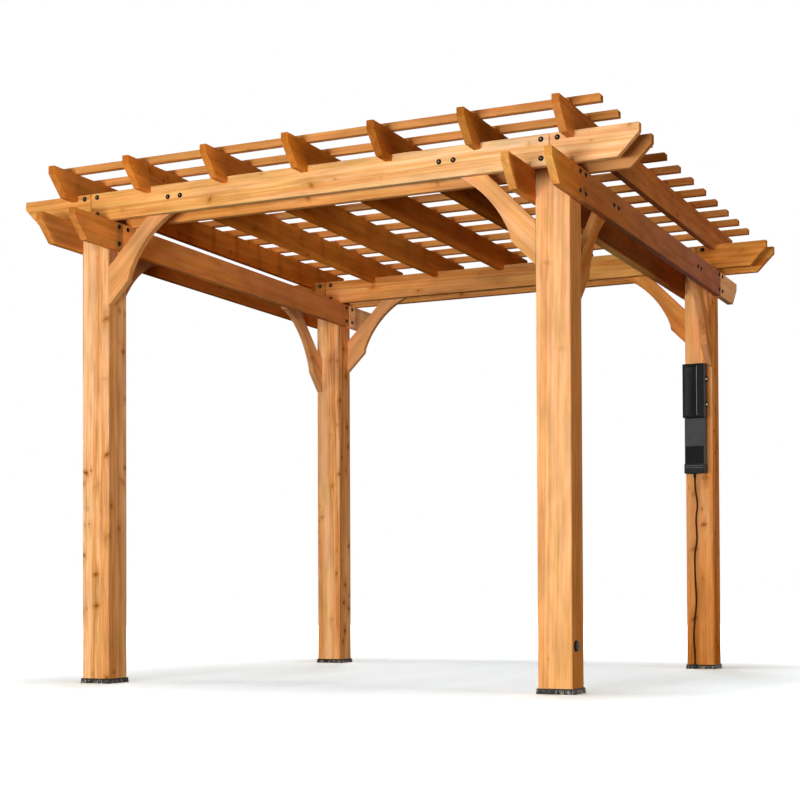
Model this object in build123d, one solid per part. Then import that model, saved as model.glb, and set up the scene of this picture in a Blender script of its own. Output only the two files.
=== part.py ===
from build123d import *

import math
import os

# A free-standing softwood pergola: four square posts in low boots, doubled side beams, doubled
# headers on top of them, curved knee braces, notched rafters and square purlins. A weatherproof
# power unit hangs on the back right post with its cord running down to the boot.
#
# Millimetres. X runs along the headers, Y from front to back, Z up from the ground.
# The origin is on the ground, midway between the four posts.

# Posts
post_side = 150.0
post_spacing_x = 2300.0
post_spacing_y = 2390.0
post_arris = 4.0

# Boots under the posts
boot_height = 24.0
boot_floor = 3.0
boot_rim = 4.0
boot_flare = 2.5
boot_fit = 0.3

# Beam and header boards, sawn from one section and doubled on opposite faces of each post
board_thickness = 34.0
board_height = 132.0
board_arris = 2.0
header_top = 2323.0
header_tail = 384.0
beam_tail = 384.0
butt_gap = 2.0

# The shaped end that the boards and the rafters share: an upright nose, then a sloping cut
tail_nose = 38.0
tail_cut_run = 92.0

# Rafters, notched over the header boards
rafter_count = 7
rafter_thickness = 34.0
rafter_height = 132.0
rafter_notch = 30.0
rafter_notch_fit = 0.5
rafter_overhang = 293.0

# Purlins across the rafters
purlin_count = 12
purlin_side = 34.0
purlin_overhang = 117.0
purlin_front_margin = 175.0
purlin_back_margin = 97.0
purlin_end_chamfer = 6.0

# Knee braces at 45 degrees, flush with the outer faces of the posts
brace_thickness = 34.0
brace_width = 132.0
brace_drop = 215.0
brace_foot = 157.0
brace_step_run = 23.0
brace_step_depth = 17.0
brace_scallop_span = 420.0
brace_scallop_depth = 45.0
brace_top_gap = 12.0

# Power unit on the front face of the back right post, just under the brace's foot
unit_offset = -9.0
unit_brace_gap = 2.0
unit_height = 583.0
unit_width = 110.0
unit_back_depth = 24.0
unit_depth = 62.0
unit_edge = 2.0
lip_height = 52.0
lip_edge = 4.0
lip_margin = 1.0
lip_step = 12.0
lip_groove = 5.0
lip_groove_depth = 3.0
lip_groove_drop = 12.0
flap_height = 97.0
flap_recess = 8.0
flap_border = 4.0
flap_thickness = 4.0
flap_fit = 0.5
cover_rise = 15.0
cover_height = 294.0
cover_width = 119.0
cover_depth = 90.0
cover_edge = 7.0
cover_gap = 2.0
cover_rib_offset = 21.0
cover_rib_width = 4.0
cover_panel_border = 12.0
cover_panel_depth = 4.0
knuckle_radius = 5.0
knuckle_height = 24.0
knuckle_drops = (82.0, 222.0)

# Cord of the power unit and the two fittings that hold it
cord_diameter = 9.5
cord_standoff = 9.0
gland_length = 20.0
gland_root_radius = 7.5
gland_end_radius = 5.8
cord_entry_width = 18.0
cord_entry_depth = 16.0
cord_entry_rise = 6.0

# The cord's points below the gland: offset from the post's centre line, and height
cord_route = [
    (-23.0, 985.0),
    (-7.0, 910.0),
    (-18.5, 835.0),
    (-16.0, 765.0),
    (-12.5, 705.0),
    (-28.0, 630.0),
    (-26.5, 550.0),
    (-24.0, 470.0),
    (-17.0, 370.0),
    (-33.0, 245.0),
    (-36.0, 150.0),
    (-29.5, 90.0),
]
cord_exit_offset = -23.0
cord_foot_offset = -29.5
cord_run_share = 0.45

# Round cap low on the outer face of the front right post
cap_radius = 23.5
cap_thickness = 9.0
cap_edge = 3.0
cap_offset = -29.0
cap_height = 200.0

# Worked out from the sizes above
post_half = post_side / 2
post_x = post_spacing_x / 2
post_y = post_spacing_y / 2
header_bottom = header_top - board_height
beam_top = header_bottom
beam_bottom = beam_top - board_height
outer_rafter_x = post_x + post_half + rafter_thickness / 2
rafter_bottom = header_top - rafter_notch
rafter_top = rafter_bottom + rafter_height
rafter_end = post_y + rafter_overhang
brace_reach = brace_drop + math.sqrt(2) * brace_width
unit_face = post_y - post_half
unit_x = post_x + unit_offset
unit_top = beam_bottom - brace_reach - unit_brace_gap
unit_bottom = unit_top - unit_height
lip_top = unit_bottom + lip_height
cover_top = unit_top + cover_rise
cover_bottom = cover_top - cover_height

SIDES_X = (("left", -1), ("right", 1))
SIDES_Y = (("front", -1), ("back", 1))


def block(x_range, y_range, z_range):
    """A box from its lowest to its highest corner."""
    size = [high - low for low, high in (x_range, y_range, z_range)]
    corner = [low for low, high in (x_range, y_range, z_range)]
    return Pos(*corner) * Box(*size, align=(Align.MIN, Align.MIN, Align.MIN))


def plate(edges, thickness, along_x):
    """A flat piece: a closed outline, made solid towards +Y if it runs along X, else towards +X."""
    direction = (0, 1, 0) if along_x else (1, 0, 0)
    return extrude(Face(Wire(edges)), amount=thickness, dir=direction)


def outline_point(run, height, offset, along_x):
    """A point of a flat piece: along its length, up, and across at the given offset."""
    return (run, offset, height) if along_x else (offset, run, height)


def polygon_plate(points, offset, thickness, along_x):
    """A flat piece from straight edges, with its lower-numbered face at the given offset."""
    corners = [outline_point(run, height, offset, along_x) for run, height in points]
    return plate(Polyline(corners, close=True).edges(), thickness, along_x)


def eased(solid, size):
    """The piece with all its edges planed off by a small flat."""
    return chamfer(solid.edges(), size)


def tail_points(tip, inward, bottom, height):
    """The shaped end of a board from its top corner down; inward is the way back along it."""
    top = bottom + height
    return [
        (tip, top),
        (tip, top - tail_nose),
        (tip + inward * tail_cut_run, bottom),
    ]


def main_board(half_length, bottom, offset, along_x):
    """The long board between two posts, butted at their centre lines."""
    points = [
        (-half_length, bottom),
        (half_length, bottom),
        (half_length, bottom + board_height),
        (-half_length, bottom + board_height),
    ]
    return eased(polygon_plate(points, offset, board_thickness, along_x), board_arris)


def tail_board(butt, sign, length, bottom, offset, along_x):
    """The short board from a post's centre line out to its shaped end."""
    points = tail_points(sign * (butt + length), -sign, bottom, board_height)
    start = sign * (butt + butt_gap / 2)
    points += [(start, bottom), (start, bottom + board_height)]
    return eased(polygon_plate(points, offset, board_thickness, along_x), board_arris)


def faces_of_post(centre):
    """Where the doubled boards start across a post: on its lower face, then on its upper face."""
    return (centre - post_half - board_thickness, centre + post_half)


def post(x, y):
    blank = block(
        (x - post_half, x + post_half),
        (y - post_half, y + post_half),
        (boot_floor, header_top),
    )
    return chamfer(blank.edges().filter_by(Axis.Z), post_arris)


def boot(x, y):
    """A flared collar with a floor that the post stands on."""
    rim = post_side + 2 * boot_rim
    foot = rim + 2 * boot_flare
    pocket = post_side + 2 * boot_fit
    skirt = loft([
        Pos(x, y, 0) * Rectangle(foot, foot),
        Pos(x, y, boot_height) * Rectangle(rim, rim),
    ])
    hollow = block(
        (x - pocket / 2, x + pocket / 2),
        (y - pocket / 2, y + pocket / 2),
        (boot_floor, 2 * boot_height),
    )
    return skirt - hollow


def brace_point(along, across, post_face, inward, underside):
    """A point of a brace, measured along and across its 45 degree upper edge."""
    run = (math.sqrt(2) * (along + across) + brace_drop) / 2
    rise = (math.sqrt(2) * (along - across) - brace_drop) / 2
    return (post_face + inward * run, underside + rise)


def brace(post_centre, inward, underside, offset, along_x):
    """A knee brace between a post and the boards above it, scalloped along its lower edge."""
    post_face = post_centre + inward * post_half
    top = board_height - rafter_notch - brace_top_gap
    foot_start = -brace_reach / math.sqrt(2)
    step_low = foot_start + brace_foot
    scallop_low = step_low + brace_step_run
    scallop_mid = scallop_low + brace_scallop_span / 2
    scallop_high = scallop_low + brace_scallop_span
    step_high = scallop_high + brace_step_run
    inner = brace_width - brace_step_depth

    def at(along, across):
        run, height = brace_point(along, across, post_face, inward, underside)
        return outline_point(run, height, offset, along_x)

    def corner(run, rise):
        return outline_point(post_face + inward * run, underside + rise, offset, along_x)

    straight = [
        at(scallop_high, inner),
        at(step_high, brace_width),
        corner(brace_reach + top, top),
        corner(brace_drop + top, top),
        corner(0, -brace_drop),
        corner(0, -brace_reach),
        at(step_low, brace_width),
        at(scallop_low, inner),
    ]
    scallop = ThreePointArc(straight[-1], at(scallop_mid, inner - brace_scallop_depth), straight[0])
    edges = list(Polyline(straight).edges()) + [scallop]
    return eased(plate(edges, brace_thickness, along_x), board_arris)


def rafter(x):
    """A rafter with a shaped end each way, notched over the four header boards."""
    points = tail_points(-rafter_end, 1, rafter_bottom, rafter_height)
    points += reversed(tail_points(rafter_end, -1, rafter_bottom, rafter_height))
    blank = polygon_plate(points, x - rafter_thickness / 2, rafter_thickness, False)
    result = eased(blank, board_arris)
    for centre in (-post_y, post_y):
        for start in faces_of_post(centre):
            result -= block(
                (x - rafter_thickness, x + rafter_thickness),
                (start - rafter_notch_fit, start + board_thickness + rafter_notch_fit),
                (rafter_bottom - rafter_notch, header_top),
            )
    return result


def purlin(front):
    reach = outer_rafter_x + rafter_thickness / 2 + purlin_overhang
    blank = block(
        (-reach, reach),
        (front, front + purlin_side),
        (rafter_top, rafter_top + purlin_side),
    )
    long_edges = blank.edges().filter_by(Axis.X)
    blank = chamfer(long_edges, board_arris)
    end_tops = blank.edges().filter_by(Axis.Y).group_by(Axis.Z)[-1]
    return chamfer(end_tops, purlin_end_chamfer)


def unit_block(width, depth_range, z_range):
    """A box of the power unit, centred on it, measured out from the post's front face."""
    near, far = depth_range
    return block(
        (unit_x - width / 2, unit_x + width / 2),
        (unit_face - far, unit_face - near),
        z_range,
    )


def front_edges(solid):
    return solid.faces().sort_by(Axis.Y)[0].edges()


def power_unit_housing():
    """Back plate, middle box with a recess for the flap, grooved lip below and hinge knuckles."""
    lip_depth = unit_depth + lip_step
    back = unit_block(unit_width, (0, unit_back_depth), (unit_bottom, unit_top))
    middle = unit_block(unit_width, (0, unit_depth), (unit_bottom, cover_bottom - cover_gap))
    lip = unit_block(unit_width + 2 * lip_margin, (0, lip_depth), (unit_bottom, lip_top))
    middle = chamfer(front_edges(middle), unit_edge)
    lip = chamfer(front_edges(lip), lip_edge)
    housing = back + middle + lip
    groove_top = lip_top - lip_groove_drop
    housing -= unit_block(
        unit_width + 4 * lip_margin,
        (lip_depth - lip_groove_depth, lip_depth + lip_groove_depth),
        (groove_top - lip_groove, groove_top),
    )
    housing -= unit_block(
        unit_width - 2 * flap_border,
        (unit_depth - flap_recess, unit_depth + flap_recess),
        (lip_top, lip_top + flap_height),
    )
    for drop in knuckle_drops:
        knuckle = Cylinder(knuckle_radius, knuckle_height)
        spot = (unit_x + unit_width / 2, unit_face - unit_back_depth / 2, cover_top - drop)
        housing += Pos(*spot) * knuckle
    return housing


def power_unit_flap():
    """The dark panel in the recess, with a little room round it."""
    back = unit_depth - flap_recess
    return unit_block(
        unit_width - 2 * (flap_border + flap_fit),
        (back, back + flap_thickness),
        (lip_top, lip_top + flap_height - flap_fit),
    )


def power_unit_cover():
    """The deep hinged cover: a dished panel, an upright rib and a plain strip beside it."""
    z_range = (cover_bottom, cover_top)
    cover = unit_block(cover_width, (unit_back_depth, cover_depth), z_range)
    cover = fillet(front_edges(cover), cover_edge)
    rib_left = unit_x + cover_rib_offset - cover_rib_width / 2
    panel = block(
        (unit_x - cover_width / 2 + cover_panel_border, rib_left),
        (unit_face - cover_depth - cover_panel_depth, unit_face - cover_depth + cover_panel_depth),
        (z_range[0] + cover_panel_border, z_range[1] - cover_panel_border),
    )
    strip = block(
        (rib_left + cover_rib_width, unit_x + cover_width / 2 - cover_panel_border),
        (unit_face - cover_depth - cover_panel_depth / 2, unit_face - cover_depth + cover_panel_depth / 2),
        (z_range[0] + cover_panel_border, z_range[1] - cover_panel_border),
    )
    return cover - panel - strip


def cord_gland():
    """A tapered sleeve under the power unit that the cord comes out of."""
    sleeve = Cone(
        gland_end_radius,
        gland_root_radius,
        gland_length,
        align=(Align.CENTER, Align.CENTER, Align.MAX),
    )
    return Pos(post_x + cord_exit_offset, unit_face - cord_standoff, unit_bottom) * sleeve


def cord_entry():
    """A small hood on the front of the boot that the cord goes down into."""
    x = post_x + cord_foot_offset
    rim_face = unit_face - boot_rim
    foot_face = rim_face - boot_flare
    hood = block(
        (x - cord_entry_width / 2, x + cord_entry_width / 2),
        (unit_face - cord_entry_depth, foot_face),
        (0, boot_height + cord_entry_rise),
    )
    upright = hood.edges().filter_by(Axis.Z).group_by(Axis.Y)[0]
    hood = fillet(upright, boot_flare)
    side = [
        (foot_face, 0),
        (rim_face, boot_height),
        (unit_face, boot_height),
        (unit_face, boot_height + cord_entry_rise),
        (foot_face, boot_height + cord_entry_rise),
    ]
    return hood + polygon_plate(side, x - cord_entry_width / 2, cord_entry_width, False)


def cord_corner_radii(points):
    """The radius at each inner point: as large as its two runs leave room for."""
    radii = []
    for before, here, after in zip(points, points[1:], points[2:]):
        first = here - before
        second = after - here
        half_turn = math.radians(first.get_angle(second)) / 2
        radii.append(cord_run_share * min(first.length, second.length) / math.tan(half_turn))
    return radii


def power_cord():
    """A round cord hanging in gentle bends just off the post's front face."""
    start = (cord_exit_offset, unit_bottom - gland_length)
    end = (cord_foot_offset, boot_height + cord_entry_rise)
    spots = [start] + cord_route + [end]
    points = [Vector(post_x + offset, unit_face - cord_standoff, height) for offset, height in spots]
    radii = cord_corner_radii(points)
    path = FilletPolyline(*points, radius=radii)
    section = Plane(origin=points[0], z_dir=points[1] - points[0]) * Circle(cord_diameter / 2)
    cord = sweep(section, path=path)
    area = math.pi * (cord_diameter / 2) ** 2
    print("cord length", round(path.length, 1), "smallest bend radius", round(min(radii), 1))
    print("cord volume over section times length", round(cord.volume / (area * path.length), 5))
    return cord


def round_cap():
    """A plain domed disc on the outer face of the front right post."""
    disc = Cylinder(cap_radius, cap_thickness, align=(Align.CENTER, Align.CENTER, Align.MIN))
    disc = fillet(disc.faces().sort_by(Axis.Z)[-1].edges(), cap_edge)
    return Pos(post_x + post_half, -post_y + cap_offset, cap_height) * Rot(0, 90, 0) * disc


def build_nodes():
    """Every named piece of the pergola."""
    nodes = {}
    boots = []
    for y_name, y_sign in SIDES_Y:
        for x_name, x_sign in SIDES_X:
            corner = f"{y_name}_{x_name}"
            x = x_sign * post_x
            y = y_sign * post_y
            nodes[f"{corner}_post"] = post(x, y)
            boots.append(boot(x, y))
            flush_y = y - post_half if y_sign < 0 else y + post_half - brace_thickness
            flush_x = x - post_half if x_sign < 0 else x + post_half - brace_thickness
            nodes[f"{corner}_header_brace"] = brace(x, -x_sign, header_bottom, flush_y, True)
            nodes[f"{corner}_beam_brace"] = brace(y, -y_sign, beam_bottom, flush_x, False)
    nodes["post_boots"] = Compound(boots)

    for y_name, y_sign in SIDES_Y:
        starts = faces_of_post(y_sign * post_y)
        for role, start in zip(("outer", "inner")[::-y_sign], starts):
            board = main_board(post_x - butt_gap / 2, header_bottom, start, True)
            nodes[f"{y_name}_header_{role}_board"] = board
        for x_name, x_sign in SIDES_X:
            pair = [tail_board(post_x, x_sign, header_tail, header_bottom, s, True) for s in starts]
            nodes[f"{y_name}_header_{x_name}_tails"] = Compound(pair)

    for x_name, x_sign in SIDES_X:
        starts = faces_of_post(x_sign * post_x)
        for role, start in zip(("outer", "inner")[::-x_sign], starts):
            board = main_board(post_y - butt_gap / 2, beam_bottom, start, False)
            nodes[f"{x_name}_beam_{role}_board"] = board
        for y_name, y_sign in SIDES_Y:
            pair = [tail_board(post_y, y_sign, beam_tail, beam_bottom, s, False) for s in starts]
            nodes[f"{x_name}_beam_{y_name}_tails"] = Compound(pair)

    rafter_pitch = 2 * outer_rafter_x / (rafter_count - 1)
    for index in range(rafter_count):
        nodes[f"rafter_{index + 1}"] = rafter(-outer_rafter_x + index * rafter_pitch)

    first_front = -rafter_end + purlin_front_margin
    last_front = rafter_end - purlin_back_margin - purlin_side
    purlin_pitch = (last_front - first_front) / (purlin_count - 1)
    purlins = [purlin(first_front + index * purlin_pitch) for index in range(purlin_count)]
    nodes["front_purlins"] = Compound(purlins[:purlin_count // 2])
    nodes["back_purlins"] = Compound(purlins[purlin_count // 2:])

    nodes["power_unit_housing"] = power_unit_housing()
    nodes["power_unit_cover"] = power_unit_cover()
    nodes["power_unit_flap"] = power_unit_flap()
    nodes["power_cord_gland"] = cord_gland()
    nodes["power_cord_entry"] = cord_entry()
    nodes["power_cord"] = power_cord()
    nodes["round_cap"] = round_cap()
    return nodes


os.makedirs("parts", exist_ok=True)
for name, shape in build_nodes().items():
    export_step(shape, f"parts/{name}.step")
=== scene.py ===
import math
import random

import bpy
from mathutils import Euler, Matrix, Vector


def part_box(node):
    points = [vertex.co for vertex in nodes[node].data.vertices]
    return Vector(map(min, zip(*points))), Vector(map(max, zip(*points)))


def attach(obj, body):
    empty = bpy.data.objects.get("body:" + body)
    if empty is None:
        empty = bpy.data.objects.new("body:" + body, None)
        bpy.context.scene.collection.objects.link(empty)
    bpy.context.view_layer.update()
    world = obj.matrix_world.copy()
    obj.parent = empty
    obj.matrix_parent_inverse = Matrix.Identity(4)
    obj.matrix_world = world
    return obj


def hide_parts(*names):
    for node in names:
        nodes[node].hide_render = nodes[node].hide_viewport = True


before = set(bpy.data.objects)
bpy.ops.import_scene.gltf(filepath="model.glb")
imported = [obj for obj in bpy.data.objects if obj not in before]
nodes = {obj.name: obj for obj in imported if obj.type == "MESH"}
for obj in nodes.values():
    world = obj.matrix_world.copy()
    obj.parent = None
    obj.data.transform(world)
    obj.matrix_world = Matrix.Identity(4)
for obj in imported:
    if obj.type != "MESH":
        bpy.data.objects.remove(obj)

# %% [markdown]
# # A softwood pergola
# The timbers, the boots and the power unit arrive finished from the frame. This lesson gives them
# their surfaces and adds what a builder would add with a screwdriver: bolts, screws and fittings.
# Everything is in metres, +X along the headers, +Y from front to back, +Z up from the ground.

MM = 0.001
scene = bpy.context.scene
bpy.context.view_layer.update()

# %% [markdown]
# ## Colours and nodes
# Colours are chosen in sRGB, as a paint card prints them, but shaders work in linear light. One
# function converts them. A second one adds any kind of node, with its settings and its links, so a
# tree reads from top to bottom like a recipe.


# %% Helpers for all the materials
def linear(hex_colour):
    """An sRGB colour such as "#C08040" as linear red, green, blue and full opacity."""
    channels = [int(hex_colour[i : i + 2], 16) / 255 for i in (1, 3, 5)]
    curve = [c / 12.92 if c <= 0.04045 else ((c + 0.055) / 1.055) ** 2.4 for c in channels]
    return (*curve, 1.0)


def add(tree, kind, sockets=(), **settings):
    """Adds a node with its settings, and feeds its inputs.

    Sockets is a tuple, in the order of the inputs in use, or a dict by their names or identifiers.
    Each input gets a value, an output, or a node, which stands for its own first output in use.
    """
    node = tree.nodes.new(kind)
    for name, value in settings.items():
        setattr(node, name, value)
    inputs = [socket for socket in node.inputs if socket.enabled]
    if isinstance(sockets, dict):
        inputs = [next(s for s in inputs if name in (s.name, s.identifier)) for name in sockets]
        sockets = sockets.values()
    for socket, value in zip(inputs, sockets):
        if isinstance(value, bpy.types.Node):
            value = next(output for output in value.outputs if output.enabled)
        if isinstance(value, bpy.types.NodeSocket):
            tree.links.new(value, socket)
        else:
            socket.default_value = value
    return node


def empty_tree(owner):
    """The node tree of a new material or world, with nothing in it."""
    owner.use_nodes = True
    owner.node_tree.nodes.clear()
    return owner.node_tree


def along_axis(tree, axis):
    """How far a point lies along one axis of the object, in metres: 0 is X, 1 is Y and 2 is Z."""
    place = add(tree, "ShaderNodeTexCoord").outputs["Object"]
    return add(tree, "ShaderNodeSeparateXYZ", (place,)).outputs[axis]


# Settings that many nodes share: a smooth ramp between two values, colours mixed, and multiplied.
EASED = {"interpolation_type": "SMOOTHSTEP"}
COLOURS = {"data_type": "RGBA"}
MULTIPLIED = {"data_type": "RGBA", "blend_type": "MULTIPLY"}
print("helpers ready")

# %% [markdown]
# ## The camera
# The pergola is seen from a low tripod at the front right, with the back upright so that the posts
# stay parallel. Raising the lens, which Blender calls shift, brings the roof into view without
# tilting the camera.

# %% Camera
LENS_MM = 71.69
LENS_RISE = 0.2052  # in sensor widths
CAMERA_AIM = ((25.007, "Z"), (91.075, "X"), (-0.233, "Z"))  # degrees of turn, tilt and roll
TRIPOD = (3.357, -7.512, 0.418)
camera_data = bpy.data.cameras.new("low_tripod_camera")
camera_data.sensor_width = 36.0
camera_data.lens = LENS_MM
camera_data.shift_y = LENS_RISE
camera = bpy.data.objects.new("low_tripod_camera", camera_data)
camera_place = Matrix.Translation(TRIPOD)
for degrees, axis in CAMERA_AIM:
    camera_place = camera_place @ Matrix.Rotation(math.radians(degrees), 4, axis)
camera.matrix_world = camera_place
scene.collection.objects.link(camera)
scene.camera = camera
print("camera", tuple(round(v, 3) for v in camera.location))

# %% [markdown]
# ## Studio light and floor
# The main light is a wide strip close to the ground in front, as light comes back from a white
# studio floor: it glows on the fronts, reaches up under the roof, and treats the top and the foot of
# a post alike. Two far boxes open the right and left sides with warmer light, and weak ones behind
# and above shape the other views. The floor and the room look white to the camera and to
# reflections, but throw back little light, which keeps the underside of the roof deep.

# %% Soft boxes
# Each one: place, point it is aimed at, width, height, watts and colour.
SOFT_BOXES = {
    "front_strip": ((0.6, -7.8, 0.42), (0.0, 0.0, 1.6), 3.2, 0.7, 435.0, "#FFFFFF"),
    "right_soft_box": ((19.0, -4.0, 1.8), (0.0, 0.0, 1.2), 4.0, 3.0, 1010.0, "#FFE0B2"),
    "left_soft_box": ((-14.0, -7.0, 1.8), (0.0, 0.0, 1.4), 4.0, 3.0, 760.0, "#FFE0B4"),
    "back_soft_box": ((-5.0, 12.0, 4.5), (0.0, 0.0, 1.4), 4.0, 4.0, 400.0, "#FFFFFF"),
    "top_soft_box": ((0.0, -0.8, 14.0), (0.0, 0.0, 0.0), 4.0, 4.0, 620.0, "#FFFFFF"),
}
ROOM_LIGHT = 0.08  # strength of the warm light that the room itself throws on the object
FLOOR_BOUNCE = 0.05  # how much light the floor throws back at the object
FLOOR_TOP_UP = 0.08  # glow of the floor under the object, which keeps its shadow pale


def soft_box(name, place, aim, width, height, watts, colour):
    """A rectangular area light that faces the point it is aimed at."""
    data = bpy.data.lights.new(name, "AREA")
    data.shape = "RECTANGLE"
    data.size, data.size_y = width, height
    data.energy = watts
    data.color = linear(colour)[:3]
    box = bpy.data.objects.new(name, data)
    box.location = place
    box.rotation_euler = (Vector(aim) - Vector(place)).to_track_quat("-Z", "Y").to_euler()
    box.visible_camera = False
    scene.collection.objects.link(box)


for box_name, settings in SOFT_BOXES.items():
    soft_box(box_name, *settings)


# %% Room: white where it is seen, dim where it lights
def seen_or_lighting(tree, seen, lighting):
    """Shows one shader to the camera, in gloss and through glass, and lights with the other."""
    ray = add(tree, "ShaderNodeLightPath").outputs
    open_view = (ray["Is Camera Ray"], ray["Is Glossy Ray"])
    open_view = add(tree, "ShaderNodeMath", open_view, operation="MAXIMUM")
    any_view = (open_view, ray["Is Transmission Ray"])
    any_view = add(tree, "ShaderNodeMath", any_view, operation="MAXIMUM")
    return add(tree, "ShaderNodeMixShader", (any_view, lighting, seen))


room = bpy.data.worlds.new("white_studio")
room_tree = empty_tree(room)
white = add(room_tree, "ShaderNodeBackground", (linear("#FFFFFF"), 1.0))
dim = add(room_tree, "ShaderNodeBackground", (linear("#FFD2A0"), ROOM_LIGHT))
add(room_tree, "ShaderNodeOutputWorld", (seen_or_lighting(room_tree, white, dim),))
scene.world = room
scene.view_settings.view_transform = "Standard"
print("room", room.name)

# %% Floor: white with the object's own shadow on it
FLOOR_HALF = 60.0  # metres, so that its edge stays out of sight
FADE_FROM, FADE_TO = 1.0, 5.0  # metres from the middle; past them the floor is plain white
floor_mesh = bpy.data.meshes.new("studio_floor")
floor_corners = [(-FLOOR_HALF, -FLOOR_HALF, 0), (FLOOR_HALF, -FLOOR_HALF, 0)]
floor_corners += [(FLOOR_HALF, FLOOR_HALF, 0), (-FLOOR_HALF, FLOOR_HALF, 0)]
floor_mesh.from_pydata(floor_corners, [], [(0, 1, 2, 3)])
floor = bpy.data.objects.new("studio_floor", floor_mesh)
scene.collection.objects.link(floor)
floor_paint = bpy.data.materials.new("matt white studio paint")
floor_tree = empty_tree(floor_paint)
floor_place = add(floor_tree, "ShaderNodeTexCoord").outputs["Object"]
far_out = add(floor_tree, "ShaderNodeVectorMath", (floor_place,), operation="LENGTH")
fade = (far_out, FADE_FROM, FADE_TO, FLOOR_TOP_UP, 1.0)
top_up = add(floor_tree, "ShaderNodeMapRange", fade, **EASED)
pale = add(floor_tree, "ShaderNodeBsdfDiffuse", {"Color": linear("#E4F4FF")})
strong = add(floor_tree, "ShaderNodeAddShader", (pale, pale))
glow = add(floor_tree, "ShaderNodeEmission", {"Strength": top_up})
lit = add(floor_tree, "ShaderNodeAddShader", (strong, glow))
dull = add(floor_tree, "ShaderNodeBsdfDiffuse", {"Color": (*(FLOOR_BOUNCE,) * 3, 1.0)})
add(floor_tree, "ShaderNodeOutputMaterial", (seen_or_lighting(floor_tree, lit, dull),))
floor_mesh.materials.append(floor_paint)
print("floor", FLOOR_HALF * 2, "m square")

# %% [markdown]
# ## The cord
# The power unit's lead is a 9.5 mm rubber cord that hangs down the face of the post and goes into
# a small hood beside the boot. A soft cord never runs dead straight, so its route is a short list
# of points in a gentle wander. A NURBS curve of order 3 turns them into one smooth line, and a bevel
# gives it thickness. A bevel is multiplied by the radius of each point, and the curve's bounding box
# grows by that radius too. So the points hold the cord's real radius and the bevel is 1, which
# keeps the box honest.

# %% Cord route and curve
CORD_DIAMETER = 9.5 * MM
post_low, post_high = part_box("back_right_post")
post_axis_x = (post_low.x + post_high.x) / 2
gland_low, gland_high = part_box("power_cord_gland")
entry_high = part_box("power_cord_entry")[1]
cord_y = (gland_low.y + gland_high.y) / 2
cord_top = gland_low.z
cord_foot = entry_high.z
# From the gland down: across from the post's middle, and height above the ground.
CORD_ROUTE_MM = [
    (-23.0, 985.0),
    (-7.0, 910.0),
    (-18.5, 835.0),
    (-16.0, 765.0),
    (-12.5, 705.0),
    (-28.0, 630.0),
    (-26.5, 550.0),
    (-24.0, 470.0),
    (-17.0, 370.0),
    (-33.0, 245.0),
    (-36.0, 150.0),
    (-29.5, 90.0),
]
first_x, last_x = CORD_ROUTE_MM[0][0], CORD_ROUTE_MM[-1][0]  # it leaves and enters upright
cord_points = [(post_axis_x + first_x * MM, cord_y, cord_top)]
cord_points += [(post_axis_x + x * MM, cord_y, z * MM) for x, z in CORD_ROUTE_MM]
cord_points += [(post_axis_x + last_x * MM, cord_y, cord_foot)]
cord_curve = bpy.data.curves.new("power_lead", "CURVE")
cord_curve.dimensions = "3D"
cord_spline = cord_curve.splines.new("NURBS")
cord_spline.points.add(len(cord_points) - 1)
for control, point in zip(cord_spline.points, cord_points):
    control.co = (*point, 1.0)
    control.radius = CORD_DIAMETER / 2
cord_spline.order_u = 3
cord_spline.use_endpoint_u = True
cord_curve.resolution_u = 12
cord_curve.bevel_depth = 1.0
cord_curve.bevel_resolution = 5
cord_curve.use_fill_caps = True
power_lead = bpy.data.objects.new("power_lead", cord_curve)
scene.collection.objects.link(power_lead)
print("cord points", len(cord_points))

bpy.context.view_layer.update()
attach(power_lead, "root")
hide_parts("power_cord")

# %% [markdown]
# ## Softwood with an amber stain
# The timbers are planed fir or cedar under a penetrating stain. Three things make such a board look
# real. Its growth rings are cylinders round a pith that lies outside the board, so every face cuts
# them differently. Its tone drifts from ring to ring and along the fibres. And side branches leave
# knots, with the grain flowing round them. The recipe works in a space whose Z axis runs along the
# grain, so the same one serves an upright post and a brace at 45 degrees.

# %% The recipe's real sizes
RING_MM = 11.0  # real rings are 3 to 5 mm apart; drawn coarser so that they show at a distance
BAND_RINGS = 3.2  # a band of slow and fast growth takes in about three rings
BAND_NOISE = (1.0, 3.0, 0.6)  # scale, detail and roughness of the change from band to band
SUMMER = (0.35, 0.92)  # the share of a year's growth in which the dark late wood builds up
WAVER_MM = 16.0  # how far a ring wanders from a true circle
WAVER_SIZE_MM = (150.0, 150.0, 900.0)  # across and along the grain, in what distance it wanders
TAPER = 0.012  # a trunk gets thinner upwards
LANE_SPREAD = 0.5  # metres in the tree between boards that lie side by side in one piece
FIBRE_MM = (3.0, 3.0, 130.0)  # width and length of the fine dark streaks
STREAK_MM = (9.0, 9.0, 260.0)  # pale and deep streaks that the planer laid open
TINT_MM = (24.0, 24.0, 420.0)  # rosy and golden stripes of one board
CLOUD_MM = (45.0, 45.0, 240.0)  # patches where the stain soaked in more
KNOT_CELL_MM = (60.0, 60.0, 135.0)  # one branch in each cell of this size
KNOT_MM = (2.6, 8.0)  # smallest and largest knot radius
NO_KNOT_MM = 0.1  # radius in a cell without a branch, too small to show
KNOT_SHARE = 0.75  # how many of the cells really hold a branch, in a board of full figure
KNOT_STRETCH = 0.5  # a branch is a short rod: its own axis counts only this much in the distance
NOISE_ROUGHNESS = 0.55  # how much of a pattern lies in its finer parts
CRUMPLE_MM = (6.0, 6.0, 8.0)  # size of the dents in a knot's outline
CRUMPLE_REACH = (0.008, 0.008, 0.006)  # metres, how deep the dents can go
FLOW_STRETCH = (1.0, 1.0, 0.30)  # the grain bends round a knot in a long oval

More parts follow.
